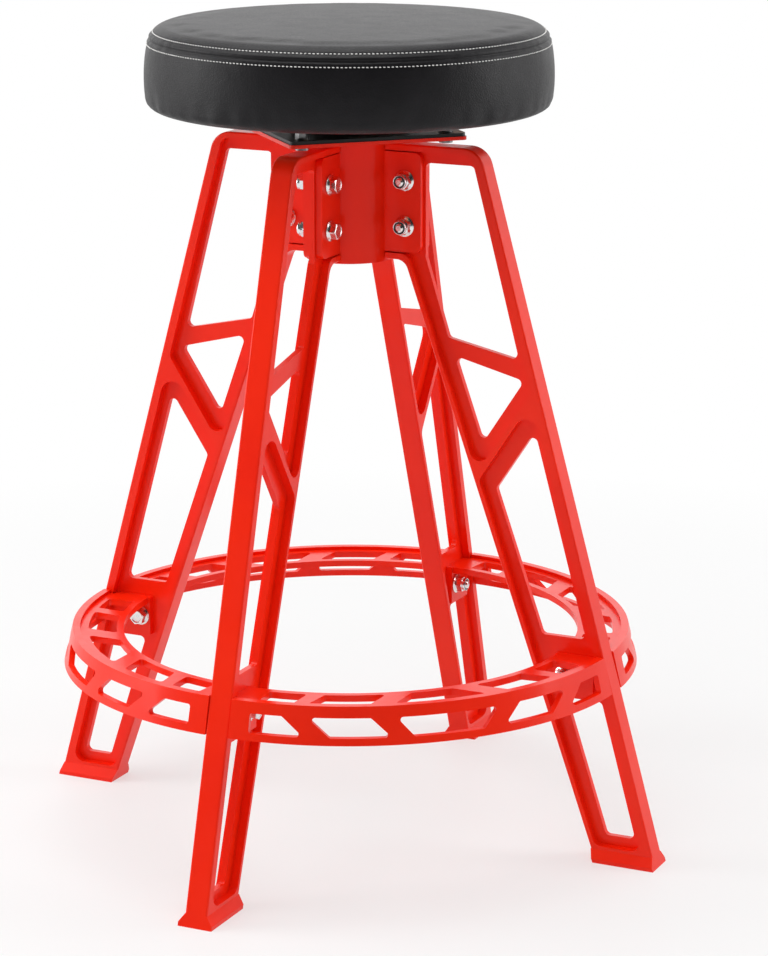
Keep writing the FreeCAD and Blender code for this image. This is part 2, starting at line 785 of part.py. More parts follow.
def square_plate(label, level, thick, side, centre, spots, hole):
    body = new_body(label)
    sketch = new_sketch(body, label + "_outline", "XY_Plane", level)
    diamond(sketch, side)
    circle(sketch, "0", "0", centre)
    for across, up in spots:
        circle(sketch, across, up, hole)
    pad(body, sketch, thick)
    reach = num("(%s) / sqrt(2)" % side)
    tips = [(V(x * reach, y * reach, 0), V(0, 0, 1)) for x, y in CROSS]
    round_edges(body, tips, "dims.plate_corner", label + "_corners")
    return body


def add_race(body, low, high):
    """Ring that carries the balls in a groove."""
    ring = new_sketch(body, body.Label + "_race", "XZ_Plane")
    outline(ring, [
        ("dims.ball_track - dims.race_wide", low),
        ("dims.ball_track + dims.race_wide", low),
        ("dims.ball_track + dims.race_wide", high),
        ("dims.ball_track - dims.race_wide", high),
    ])
    revolve(body, ring)
    track = new_sketch(body, body.Label + "_track", "XZ_Plane")
    circle(track, "dims.ball_track", BALL_HIGH, "dims.ball_dia / 2 + dims.ball_play")
    revolve(body, track, cut=True)


def make_swivel():
    lower = square_plate("swivel_lower_plate", PLATE_TOP, "dims.swivel_plate", "dims.swivel_side",
                         "dims.rivet_outer + dims.ball_play", PLATE_SPOTS, PLATE_BOLT_HOLE)
    add_race(lower, SWIVEL_FACE, BALL_HIGH + " - dims.race_lip")
    upper_low = SEAT_LOW + " - dims.swivel_plate"
    upper = square_plate("swivel_upper_plate", upper_low, "dims.swivel_plate", "dims.swivel_side",
                         "dims.rivet_outer + dims.rivet_play", SCREW_SPOTS, SCREW_HOLE)
    add_race(upper, BALL_HIGH + " + dims.race_lip", upper_low)

    balls = new_body("swivel_balls", several=True)
    ball = balls.newObject("PartDesign::AdditiveSphere", "swivel_ball")
    ball.AttachmentSupport = (origin_item(balls, "XY_Plane"), [""])
    ball.MapMode = "FlatFace"
    ball.setExpression("AttachmentOffset.Base.x", "dims.ball_track")
    ball.setExpression("AttachmentOffset.Base.z", BALL_HIGH)
    ball.setExpression("Radius", "dims.ball_dia / 2")
    doc.recompute()
    around(balls, [ball], int(num("dims.ball_count")), "swivel_ball_pattern")

    cage = new_body("swivel_ball_cage")
    ring = new_sketch(cage, "cage_ring", "XY_Plane", BALL_HIGH + " - dims.cage_thick / 2")
    circle(ring, "0", "0", "dims.ball_track + dims.cage_wide")
    circle(ring, "0", "0", "dims.ball_track - dims.cage_wide")
    pad(cage, ring, "dims.cage_thick")
    hole = new_sketch(cage, "cage_hole", "XY_Plane", BALL_HIGH + " - dims.cage_thick")
    circle(hole, "dims.ball_track", "0", "dims.ball_dia / 2 + dims.hole_play / 2")
    cut = pocket(cage, hole, "2 * dims.cage_thick", back=True)
    around(cage, [cut], int(num("dims.ball_count")), "cage_holes")

    rivet = new_body("swivel_rivet")
    section = new_sketch(rivet, "rivet_section", "XZ_Plane")
    foot_low = PLATE_TOP + " - dims.rivet_lip"
    cap_low = SEAT_LOW + " + dims.rivet_play"
    outline(section, [
        ("dims.rivet_bore", foot_low),
        ("dims.rivet_flange", foot_low),
        ("dims.rivet_flange", PLATE_TOP),
        ("dims.rivet_outer", PLATE_TOP),
        ("dims.rivet_outer", cap_low),
        ("dims.rivet_flange", cap_low),
        ("dims.rivet_flange", cap_low + " + dims.rivet_lip"),
        ("dims.rivet_bore", cap_low + " + dims.rivet_lip"),
    ])
    revolve(rivet, section)
    return [lower, upper, balls, cage, rivet]


def make_plate_hardware():
    spot = PLATE_SPOTS[:1]
    shank = ("dims.plate_thick + dims.swivel_plate + dims.plate_washer"
             " + dims.plate_nut_high + dims.plate_bolt_tip")
    bore = "dims.plate_bolt_dia / 2 + dims.hole_play / 2"
    bolts = make_group("swivel_bolts", "XY_Plane", spot, [
        (HUB_HIGH + " - dims.plate_head_high", "dims.plate_head_high", "round",
         "dims.plate_head_dia", None),
        (HUB_HIGH, shank, "round", "dims.plate_bolt_dia", None),
    ])
    washers = make_group("swivel_washers", "XY_Plane", spot, [
        (SWIVEL_FACE, "dims.plate_washer", "round", "dims.plate_washer_dia", bore),
    ])
    nuts = make_group("swivel_nuts", "XY_Plane", spot, [
        (SWIVEL_FACE + " + dims.plate_washer", "dims.plate_nut_high", "hex",
         "dims.plate_nut_flats", bore),
    ])
    return [bolts, washers, nuts]


# padded seat on its board, held by four screws from below

def make_board():
    board = new_body("seat_board")
    disc = new_sketch(board, "board_disc", "XY_Plane", SEAT_LOW)
    circle(disc, "0", "0", "dims.board_radius")
    circle(disc, "0", "0", "dims.board_hole")
    for across, up in SCREW_SPOTS:
        circle(disc, across, up, "dims.tee_barrel_dia / 2 + dims.hole_play / 2")
    pad(board, disc, "dims.board_thick")
    sinks = new_sketch(board, "board_sinks", "XY_Plane", BOARD_TOP)
    for across, up in SCREW_SPOTS:
        circle(sinks, across, up, "dims.tee_flange_dia / 2 + dims.hole_play")
    pocket(board, sinks, "dims.tee_flange")
    return board


def make_cushion():
    cushion = new_body("seat_cushion")
    half = new_sketch(cushion, "cushion_half", "XZ_Plane")
    foam_low = BOARD_TOP + " + dims.foam_gap"
    foam_in = "dims.board_radius + dims.foam_gap"
    drop = "(dims.seat_thick - dims.crest_rise)"
    top = SEAT_LOW + " + dims.seat_thick"
    crown = "(dims.crest_radius * dims.crest_radius + %s * %s) / (2 * %s)" % (drop, drop, drop)
    outline(half, [
        ("0", top),
        ("0", foam_low),
        (foam_in, foam_low),
        (foam_in, SEAT_LOW),
        ("dims.seat_low_radius", SEAT_LOW),
        ("dims.seam_radius", SEAT_LOW + " + dims.seam_rise"),
        ("dims.crest_radius", SEAT_LOW + " + dims.crest_rise"),
    ], {4: "dims.wall_bow", 5: "dims.shoulder_bow", 6: crown})
    revolve(cushion, half)
    low = num(SEAT_LOW)
    rim = num("dims.seat_low_radius")
    names = []
    for index, edge in enumerate(cushion.Tip.Shape.Edges, start=1):
        if edge.Degenerated or edge.Curve.TypeId != "Part::GeomCircle":
            continue
        if abs(edge.Curve.Radius - rim) < 0.1 and abs(edge.Curve.Center.z - low) < 0.1:
            names.append("Edge%d" % index)
    base = cushion.Tip
    feature = cushion.newObject("PartDesign::Fillet", "cushion_edge")
    feature.Base = (base, names)
    feature.setExpression("Radius", "dims.seat_round")
    doc.recompute()
    return cushion


def make_seat_hardware():
    cover = new_body("seat_dust_cover")
    cloth = new_sketch(cover, "cover_ring", "XY_Plane", SEAT_LOW + " - dims.cloth_thick")
    circle(cloth, "0", "0", "dims.cloth_outer")
    circle(cloth, "0", "0", "dims.cloth_inner")
    pad(cover, cloth, "dims.cloth_thick")
    spot = SCREW_SPOTS[:1]
    plate_low = SEAT_LOW + " - dims.swivel_plate"
    screws = make_group("seat_screws", "XY_Plane", spot, [
        (plate_low + " - dims.screw_head", "dims.screw_head", "round", "dims.screw_head_dia", None),
        (plate_low, "dims.screw_length", "round", "dims.screw_dia", None),
    ])
    bore = "dims.screw_dia / 2 + dims.hole_play / 2"
    flange_low = BOARD_TOP + " - dims.tee_flange"
    tees = make_group("seat_tee_nuts", "XY_Plane", spot, [
        (flange_low + " - dims.tee_barrel", "dims.tee_barrel", "round", "dims.tee_barrel_dia", bore),
        (flange_low, "dims.tee_flange", "round", "dims.tee_flange_dia", bore),
    ])
    return [cover, screws, tees]


LEG_TURNS = {"leg_right": 0, "leg_back": 90, "leg_left": 180, "leg_front": 270}
RING_TURNS = {
    "ring_back_right": 0,
    "ring_back_left": 90,
    "ring_front_left": 180,
    "ring_front_right": 270,
}
parts = [make_leg(label, angle) for label, angle in LEG_TURNS.items()]
parts.append(make_hub())
for kind in BOLT_SETS:
    parts += make_bolt_set(kind)
parts += [make_segment(label, angle) for label, angle in RING_TURNS.items()]
parts.append(square_plate("top_plate", HUB_HIGH, "dims.plate_thick", "dims.plate_side",
                          "dims.plate_hole", PLATE_SPOTS, PLATE_BOLT_HOLE))
parts += make_swivel()
parts += make_plate_hardware()
parts += [make_board(), make_cushion()]
parts += make_seat_hardware()

doc.recompute()
for thing in doc.Objects:
    if "Invalid" in thing.State or "Error" in thing.State:
        raise RuntimeError("%s is not sound: %s" % (thing.Name, thing.State))
os.makedirs("parts", exist_ok=True)
for body in parts:
    shape = body.Shape
    if shape.isNull() or not shape.isValid():
        raise RuntimeError(body.Label + " has no valid shape")
    shape.exportStep("parts/%s.step" % body.Label)
    print("%-22s %9.1f mm3 %2d solids" % (body.Label, shape.Volume, len(shape.Solids)))
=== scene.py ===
import json
import math

import bmesh
import bpy
from mathutils import Matrix, Vector, noise
from mathutils.bvhtree import BVHTree


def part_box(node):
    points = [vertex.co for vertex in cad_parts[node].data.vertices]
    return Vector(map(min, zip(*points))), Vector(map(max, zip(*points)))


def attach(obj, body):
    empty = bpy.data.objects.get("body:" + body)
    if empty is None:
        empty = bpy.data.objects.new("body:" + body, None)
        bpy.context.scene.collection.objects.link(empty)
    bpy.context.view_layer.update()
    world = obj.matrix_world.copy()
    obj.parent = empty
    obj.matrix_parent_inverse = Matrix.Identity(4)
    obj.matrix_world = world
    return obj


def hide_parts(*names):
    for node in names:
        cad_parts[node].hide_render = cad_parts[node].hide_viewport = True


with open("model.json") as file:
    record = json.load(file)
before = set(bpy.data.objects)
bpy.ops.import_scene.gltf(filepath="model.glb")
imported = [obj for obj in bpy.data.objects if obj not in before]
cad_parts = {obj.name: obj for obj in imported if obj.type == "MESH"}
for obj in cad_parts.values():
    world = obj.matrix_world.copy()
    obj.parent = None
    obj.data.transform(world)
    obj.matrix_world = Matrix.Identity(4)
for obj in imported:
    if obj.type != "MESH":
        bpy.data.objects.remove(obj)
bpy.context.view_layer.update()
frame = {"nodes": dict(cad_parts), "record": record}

# Looks of the swivel bar stool: red enamelled castings, bright flange bolts
# with locking nuts, and a black leather seat with two rows of pale stitching.
# Metres, +Z up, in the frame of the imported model.

MM = 0.001
FULL_TURN = 2 * math.pi

# where the photographer stood, and the lens over the picture's long side
CAMERA_PLACE = Vector((1.2544, -2.5770, 1.0582))
CAMERA_LOOK = Vector((-0.41470, 0.87513, -0.24934))
CAMERA_LENS = 124.58
SENSOR = 36.0

# the studio: light level of the open air, the grey of its walls from behind the
# stool (0) to behind the camera (1), and the lamps as (name, place, size, watts)
AIR_LEVEL = 0.30
WALL_GREYS = ((0.08, 1.6), (0.42, 0.55), (0.62, 0.42), (0.80, 0.02))
SOFTBOXES = (
    ("overhead_softbox", (-0.3, -0.2, 2.5), (2.2, 2.2), 42.0),
    ("left_softbox", (-2.2, -1.0, 1.1), (1.2, 1.8), 30.0),
    ("right_softbox", (1.9, 0.9, 1.1), (1.0, 1.8), 20.0),
    ("front_fill", (0.6, -2.6, 1.6), (1.4, 1.4), 8.0),
)
LAMP_AIM = Vector((0, 0, 0.4))
FLOOR_RADIUS = 9.0
FLOOR_FADE = (0.45, 1.3)
FLOOR_GLOW = 0.55

# the seat's section: places are (radius, height), bows are radii of its curves
SEAM = (174.4 * MM, 715.0 * MM)
UPPER_ROW = (170.8 * MM, 721.7 * MM)
LOWER_ROW = (175.8 * MM, 710.3 * MM)
CREST = (160.0 * MM, 726.6 * MM)
SEAT_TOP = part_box("seat_cushion")[1].z
SEAT_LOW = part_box("seat_cushion")[0].z
BOARD_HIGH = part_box("seat_board")[1].z
BOARD_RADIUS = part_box("seat_board")[1].x
SHOULDER_BOW = 18.5 * MM
WALL_BOW = 145.0 * MM
LOW_RADIUS = 177.6 * MM
LOW_ROUND = 11.0 * MM
FOAM_GAP = 0.3 * MM
SKIN_STEPS = 432

# the foam form that the cloth run puffs up, and how much of it the skin takes
PAD_STEPS = 144
PAD_INSET = 0.3 * MM
PAD_VOXEL = 5 * MM
PAD_PRESSURE = 4
PAD_STIFFNESS = 25
PAD_FRAMES = 20
PAD_LIMIT = 3.0 * MM
SWELL_PASSES = 14
SWELL_LIMIT = 0.7 * MM

# what the sewing does to the skin, as (depth or rise, width)
CREASE = (1.3 * MM, 0.9 * MM)
ROW_DENT = (0.45 * MM, 1.1 * MM)
WELT = (0.5 * MM, 1.6 * MM)
WELT_PLACE = 3.0 * MM
PUCKER = (0.35 * MM, 9 * MM)
JOINT_GROOVE = (1.0 * MM, 1.0 * MM)
JOINT_LIP = (0.35 * MM, 2 * MM)
JOINT_LIP_PLACE = 3 * MM
PANEL_JOINT = math.radians(27.0)
HEM_SLACK = 1.6 * MM
HEM_TUCK = 1.7 * MM

# stitches, and the slope of the skin under each row
STITCH_PITCH = 3.5 * MM
STITCH_LENGTH = 2.4 * MM
STITCH_TILT = math.radians(4)
THREAD_WIDTH = 1.05 * MM
THREAD_PROUD = 0.28
UPPER_SLOPE = math.radians(52)
LOWER_SLOPE = math.radians(6)

# flange bolts and locking nuts
HEAD = "head"
NUT = "nut"
HEX_FLATS = 13 * MM
FLANGE_TOP = 2.5 * MM
HEAD_HIGH = 8.4 * MM
HEAD_FACE = 6.0 * MM
NUT_HIGH = 8.2 * MM
NUT_FACE = 6.3 * MM
CHAMFER_SLOPE = math.tan(math.radians(30))
THREAD_PITCH = 1.25 * MM
THREAD_DEPTH = 0.55 * MM
THREAD_LOW = -30.2 * MM
THREAD_HIGH = -26.0 * MM
SHANK_RINGS = 24
BOLT_STEPS = 48
FIRST_TWIST = 13
TWIST_STEP = 23

# their sections as (radius, height) in millimetres from the face that bears on
# the casting; press_hexagon shapes the hexagons further
BOLT_SECTION = [
    (0, -31.0), (2.4, -31.0), (3.0, -30.5), (3.98, -29.6), (3.98, -26.0), (3.98, 0),
    (8.8, 0), (9.15, 0.25), (9.25, 0.6), (9.15, 0.95), (8.8, 1.2), (8.0, 1.6), (7.5, 2.1),
    (7.0, 3.0), (7.0, 7.6), (6.0, 8.4), (5.4, 8.4), (4.9, 8.15), (4.3, 8.05), (0, 8.05),
]
NUT_SECTION = [
    (4.1, 0.5), (4.6, 0), (8.8, 0), (9.15, 0.25), (9.25, 0.6), (9.15, 0.95), (8.8, 1.2),
    (8.0, 1.6), (7.5, 2.1), (7.0, 3.0), (7.0, 7.4), (6.1, 8.2), (6.08, 9.2), (6.05, 10.2),
    (6.0, 10.8), (5.8, 11.12), (5.5, 11.15), (5.25, 10.95), (5.2, 10.7), (5.3, 10.5),
    (5.3, 8.2), (4.1, 8.2),
]
RING_SECTION = [
    (3.4, 8.25), (5.25, 8.25), (5.25, 10.4), (5.15, 10.7), (4.6, 10.85), (3.9, 10.8), (3.4, 10.5),
]


# ---- shared helpers

def keep(mesh, name, body, material):
    """Turns a bmesh into a smooth finished piece that rides on a body."""
    bmesh.ops.recalc_face_normals(mesh, faces=mesh.faces[:])
    data = bpy.data.meshes.new(name)
    mesh.to_mesh(data)
    mesh.free()
    data.polygons.foreach_set("use_smooth", [True] * len(data.polygons))
    data.materials.append(material)
    piece = bpy.data.objects.new(name, data)
    bpy.context.scene.collection.objects.link(piece)
    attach(piece, body)
    return piece


def sharpen(piece, degrees=32):
    """Keeps crisp edges crisp under smooth shading."""
    limit = math.radians(degrees)
    mesh = bmesh.new()
    mesh.from_mesh(piece.data)
    for edge in mesh.edges:
        edge.smooth = edge.calc_face_angle(math.pi) < limit
    mesh.to_mesh(piece.data)
    mesh.free()


def chain(mesh, points):
    """Row of edges in the XZ plane through (radius, height) points."""
    verts = [mesh.verts.new((radius, 0, height)) for radius, height in points]
    return verts + [mesh.edges.new(pair) for pair in zip(verts, verts[1:])]


def turn(points, steps, closed=False):
    """Body of revolution about Z from (radius, height) points."""
    mesh = bmesh.new()
    profile = chain(mesh, points)
    if closed:
        verts = [item for item in profile if isinstance(item, bmesh.types.BMVert)]
        profile.append(mesh.edges.new((verts[-1], verts[0])))
    bmesh.ops.spin(mesh, geom=profile, cent=(0, 0, 0), axis=(0, 0, 1), dvec=(0, 0, 0),
                   angle=FULL_TURN, steps=steps, use_merge=True, use_duplicate=False)
    bmesh.ops.remove_doubles(mesh, verts=mesh.verts[:], dist=1e-7)
    return mesh


def arc(start, end, radius, count):
    """Points after start along an arc that bulges to the right of its run."""
    start, end = Vector(start), Vector(end)
    chord = end - start
    middle = (start + end) / 2
    left = Vector((-chord.y, chord.x)).normalized()
    centre = middle + left * math.sqrt(radius ** 2 - (chord.length / 2) ** 2)
    first = math.atan2(*(start - centre).yx)
    sweep = (math.atan2(*(end - centre).yx) - first + math.pi) % FULL_TURN - math.pi
    angles = [first + sweep * step / count for step in range(1, count + 1)]
    return [tuple(centre + radius * Vector((math.cos(a), math.sin(a)))) for a in angles]


def run(start, end, count):
    """Points after start along a straight line."""
    start, end = Vector(start), Vector(end)
    return [tuple(start.lerp(end, step / count)) for step in range(1, count + 1)]


def smooth_step(low, high, value):
    """Eases from 0 at low to 1 at high."""
    part = min(max((value - low) / (high - low), 0.0), 1.0)
    return part * part * (3 - 2 * part)


def mound(distance, width):
    """Bell curve: 1 at no distance, fading over a width."""
    return math.exp(-(distance / width) ** 2)


def add_node(tree, kind, inputs=None, **settings):
    """Adds a shader node; an input that is a socket is linked to it."""
    node = tree.nodes.new("ShaderNode" + kind)
    for name, value in settings.items():
        setattr(node, name, value)
    for socket, value in (inputs or {}).items():
        if isinstance(value, bpy.types.NodeSocket):
            tree.links.new(value, node.inputs[socket])
        else:
            node.inputs[socket].default_value = value
    return node


def set_stops(ramp, stops):
    """Fills a colour ramp; each stop is (position, colour or grey level)."""
    elements = ramp.color_ramp.elements
    while len(elements) < len(stops):
        elements.new(1.0)
    for element, (position, colour) in zip(elements, stops):
        if not isinstance(colour, tuple):
            colour = (colour,) * 3
        element.position = position
        element.color = (*colour, 1.0)


# ---- materials

class Finish:
    """A material's node tree, with short ways to add and join its nodes."""

    def __init__(self, name, **values):
        self.material = bpy.data.materials.new(name)
        self.material.use_nodes = True
        self.tree = self.material.node_tree
        self.shader = self.tree.nodes["Principled BSDF"]
        for socket, value in values.items():
            self.shader.inputs[socket.replace("_", " ")].default_value = value
        self.place = self.tree.nodes.new("ShaderNodeTexCoord").outputs["Object"]

    def node(self, kind, inputs=None, **settings):
        return add_node(self.tree, kind, inputs, **settings)

    def stretch(self, scale):
        return self.node("Mapping", {"Vector": self.place, "Scale": scale}).outputs["Vector"]

    def noise(self, scale, detail=2.0, roughness=0.5, vector=None):
        inputs = {"Vector": vector or self.place, "Scale": scale, "Detail": detail,
                  "Roughness": roughness}
        return self.node("TexNoise", inputs).outputs["Fac"]

    def ramp(self, factor, *stops):
        """Colour ramp; each stop is (position, colour or grey level)."""
        node = self.node("ValToRGB", {"Fac": factor})
        set_stops(node, stops)
        return node.outputs["Color"]

    def math(self, operation, first, second=0.0):
        return self.node("Math", {0: first, 1: second}, operation=operation).outputs[0]

    def colour(self, socket):
        self.tree.links.new(socket, self.shader.inputs["Base Color"])

    def roughness(self, factor, low, high):
        spread = self.node("MapRange", {"Value": factor, "To Min": low, "To Max": high})
        self.tree.links.new(spread.outputs["Result"], self.shader.inputs["Roughness"])

    def relief(self, *layers, normal=None):
        """Bump layers, each (height, depth), on top of one another."""
        for height, distance in layers:
            inputs = {"Height": height, "Distance": distance, "Strength": 1.0}
            if normal is not None:
                inputs["Normal"] = normal
            normal = self.node("Bump", inputs).outputs["Normal"]
        self.tree.links.new(normal, self.shader.inputs["Normal"])


def red_enamel():
    """Glossy orange-red enamel over a cast surface."""
    paint = Finish("red_enamel", IOR=1.5, Specular_IOR_Level=0.22, Coat_Weight=0.08,
                   Coat_Roughness=0.06)
    flow = paint.noise(7.0, 3.0)
    paint.colour(paint.ramp(flow, (0.3, (0.90, 0.014, 0.0015)), (0.7, (0.98, 0.024, 0.0030))))
    paint.roughness(paint.noise(38.0, 3.0), 0.24, 0.38)
    cast = paint.noise(85.0, 3.0, 0.55)
    peel = paint.noise(620.0, 1.0)
    paint.relief((cast, 0.16 * MM), (peel, 0.02 * MM))
    return paint.material


def black_enamel():
    """Satin black enamel on pressed steel plate."""
    paint = Finish("black_enamel", IOR=1.5, Specular_IOR_Level=0.28)
    paint.colour(paint.ramp(paint.noise(24.0, 4.0), (0.3, 0.003), (0.75, 0.007)))
    paint.roughness(paint.noise(130.0, 3.0), 0.28, 0.42)
    paint.relief((paint.noise(900.0, 1.0), 0.03 * MM))
    return paint.material


def bright_zinc():
    """Bright zinc plate with a faint blue and straw tint."""
    metal = Finish("bright_zinc", Metallic=1.0)
    tint = metal.noise(260.0, 2.0)
    metal.colour(metal.ramp(tint, (0.3, (0.70, 0.72, 0.76)), (0.5, (0.80, 0.80, 0.80)),
                            (0.75, (0.82, 0.79, 0.72))))
    metal.roughness(metal.noise(700.0, 4.0), 0.13, 0.30)
    metal.relief((metal.noise(1500.0, 3.0, 0.6), 0.012 * MM))
    return metal.material


def shade_darkened_zinc():
    """Darker copy of the zinc finish for the swivel's hardware: painted shade for the shade under
    the seat.
    """
    metal = Finish("shade_darkened_zinc", Metallic=1.0)
    metal.colour(metal.ramp(metal.noise(300.0, 3.0), (0.3, 0.13), (0.7, 0.24)))
    metal.roughness(metal.noise(800.0, 3.0), 0.25, 0.42)
    metal.relief((metal.noise(1400.0, 2.0), 0.012 * MM))
    return metal.material


def black_nylon():
    """Plain nylon of the locking rings."""
    nylon = Finish("nylon_ring", IOR=1.5)
    nylon.colour(nylon.ramp(nylon.noise(500.0), (0.3, 0.008), (0.7, 0.018)))
    nylon.roughness(nylon.noise(900.0), 0.35, 0.55)
    nylon.relief((nylon.noise(2200.0, 3.0), 0.02 * MM))
    return nylon.material


def ball_steel():
    """Polished bearing balls under a film of oil."""
    metal = Finish("ball_steel", Metallic=1.0, Coat_Weight=0.5, Coat_Roughness=0.05)
    metal.colour(metal.ramp(metal.noise(400.0), (0.3, 0.62), (0.7, 0.74)))
    metal.roughness(metal.noise(1200.0, 2.0), 0.05, 0.12)
    return metal.material


def cage_steel():
    """Rolled strip with fine lines round the axis."""
    metal = Finish("cage_steel", Metallic=1.0)
    rings = metal.node("TexWave", {"Vector": metal.place, "Scale": 900.0, "Distortion": 1.5,
                                   "Detail": 2.0}, wave_type="RINGS", rings_direction="Z")
    metal.colour(metal.ramp(metal.noise(180.0, 3.0), (0.3, 0.40), (0.7, 0.56)))
    metal.roughness(rings.outputs["Fac"], 0.28, 0.42)
    metal.relief((rings.outputs["Fac"], 0.008 * MM))
    return metal.material


def plywood():
    """Birch plywood: figured faces and layered edges."""
    wood = Finish("plywood", IOR=1.5)
    spot = wood.node("SeparateXYZ", {"Vector": wood.place})
    height = wood.math("MULTIPLY", spot.outputs["Z"], 1.0 / (1.5 * MM))
    layer = wood.math("GREATER_THAN", wood.math("FRACT", wood.math("MULTIPLY", height, 0.5)), 0.5)
    grain = wood.noise(60.0, 5.0, 0.6, wood.stretch((1.0, 14.0, 14.0)))
    pale = wood.ramp(grain, (0.3, (0.52, 0.36, 0.20)), (0.7, (0.66, 0.50, 0.31)))
    brown = wood.ramp(grain, (0.3, (0.30, 0.18, 0.09)), (0.7, (0.44, 0.29, 0.16)))
    upright = wood.node("SeparateXYZ", {"Vector": wood.node("NewGeometry").outputs["Normal"]})
    side = wood.math("LESS_THAN", wood.math("ABSOLUTE", upright.outputs["Z"]), 0.5)
    ply = wood.math("MULTIPLY", layer, side)
    mix = wood.node("Mix", {"Factor": ply, "A": pale, "B": brown}, data_type="RGBA")
    wood.tree.links.new(mix.outputs["Result"], wood.shader.inputs["Base Color"])
    wood.roughness(grain, 0.55, 0.75)
    wood.relief((grain, 0.08 * MM))
    return wood.material


def dust_cloth():
    """Black bonded cloth with matted fibres."""
    cloth = Finish("dust_cloth", IOR=1.45, Sheen_Weight=0.3, Sheen_Roughness=0.5)
    fibre = cloth.noise(420.0, 6.0, 0.7, cloth.stretch((1.0, 2.4, 1.0)))
    dots = cloth.node("TexVoronoi", {"Vector": cloth.place, "Scale": 480.0})
    cloth.colour(cloth.ramp(fibre, (0.3, 0.008), (0.75, 0.024)))
    cloth.roughness(fibre, 0.75, 0.95)
    cloth.relief((dots.outputs["Distance"], 0.12 * MM), (fibre, 0.10 * MM))
    return cloth.material


def black_leather():
    """Black leather with a fine pebble grain and a soft sheen."""
    hide = Finish("black_leather", IOR=1.45, Specular_IOR_Level=0.30)
    bend = hide.node("TexNoise", {"Vector": hide.place, "Scale": 420.0, "Detail": 2.0})
    spot = hide.node("MixRGB", {"Fac": 0.0018, "Color1": hide.place,
                                "Color2": bend.outputs["Color"]}, blend_type="ADD")
    pebble = hide.node("TexVoronoi", {"Vector": spot.outputs["Color"], "Scale": 760.0,
                                      "Smoothness": 0.6}, feature="SMOOTH_F1")
    bead = hide.ramp(pebble.outputs["Distance"], (0.05, 1.0), (0.62, 0.0))
    wide = hide.noise(46.0, 3.0)
    pore = hide.noise(2600.0, 2.0)
    hide.colour(hide.ramp(wide, (0.3, (0.0042, 0.0036, 0.0048)), (0.7, (0.0068, 0.0060, 0.0076))))
    hide.roughness(hide.math("ADD", hide.math("MULTIPLY", bead, 0.6),
                             hide.math("MULTIPLY", wide, 0.4)), 0.52, 0.38)
    hide.relief((wide, 0.5 * MM), (bead, 0.11 * MM), (pore, 0.012 * MM))
    return hide.material


def pale_thread():
    """Twisted polyester thread, pale grey."""
    thread = Finish("pale_thread", IOR=1.5, Sheen_Weight=0.3, Sheen_Roughness=0.3)
    twist = thread.noise(2400.0, 2.0)
    thread.colour(thread.ramp(twist, (0.3, (0.74, 0.73, 0.71)), (0.7, (0.90, 0.89, 0.87))))
    thread.roughness(twist, 0.5, 0.7)
    thread.relief((twist, 0.06 * MM))
    return thread.material


# ---- the seat

def seat_profile(inset=0.0):
    """Closed section of the pad as (radius, height) points, outside first."""
    drop = SEAT_TOP - CREST[1]
    crown = (CREST[0] ** 2 + drop ** 2) / (2 * drop)
    top = (0.0, SEAT_TOP - inset)
    crest = (CREST[0] - inset, CREST[1] - inset)
    seam = (SEAM[0] - inset, SEAM[1])
    wall = (LOW_RADIUS - inset, SEAT_LOW + LOW_ROUND)
    under = (LOW_RADIUS - LOW_ROUND - inset, SEAT_LOW)
    rim = (BOARD_RADIUS + FOAM_GAP, SEAT_LOW)
    roof = (BOARD_RADIUS + FOAM_GAP, BOARD_HIGH + FOAM_GAP)
    base = (0.0, BOARD_HIGH + FOAM_GAP)
    points = [base] + run(base, roof, 8) + run(roof, rim, 3) + run(rim, under, 2)
    points += arc(under, wall, LOW_ROUND, 8)
    points += arc(wall, seam, WALL_BOW, 34)
    points += arc(seam, crest, SHOULDER_BOW, 26)
    points += arc(crest, top, crown, 30)
    return points


def hold_down(form):
    """Ties the pad to its board and, a little less, along its seam."""
    hold = form.vertex_groups.new(name="held")
    for vert in form.data.vertices:
        radius = vert.co.xy.length
        from_seam = math.hypot(radius - SEAM[0], vert.co.z - SEAM[1])
        if vert.co.z < BOARD_HIGH + 3 * MM and radius < LOW_RADIUS - 9 * MM:
            hold.add([vert.index], 1.0, "REPLACE")
        elif from_seam < 6 * MM:
            hold.add([vert.index], 0.9, "REPLACE")
    return hold


def puff_up(form):
    """Short cloth run under pressure; no point moves past a limit."""
    hold = hold_down(form)
    cloth = form.modifiers.new("skin", "CLOTH")
    cloth.settings.quality = 6
    cloth.settings.mass = 0.4
    cloth.settings.tension_stiffness = PAD_STIFFNESS
    cloth.settings.compression_stiffness = PAD_STIFFNESS
    cloth.settings.bending_stiffness = 4
    cloth.settings.use_pressure = True
    cloth.settings.uniform_pressure_force = PAD_PRESSURE
    cloth.settings.vertex_group_mass = hold.name
    cloth.settings.effector_weights.gravity = 0
    cloth.collision_settings.use_collision = False
    scene = bpy.context.scene
    for number in range(1, PAD_FRAMES + 1):
        scene.frame_set(number)
    blown = form.evaluated_get(bpy.context.evaluated_depsgraph_get())
    places = [vert.co.copy() for vert in blown.data.vertices]
    form.modifiers.clear()
    scene.frame_set(1)
    for vert, place in zip(form.data.vertices, places):
        move = place - vert.co
        if move.length > PAD_LIMIT:
            move = move.normalized() * PAD_LIMIT
        vert.co += move


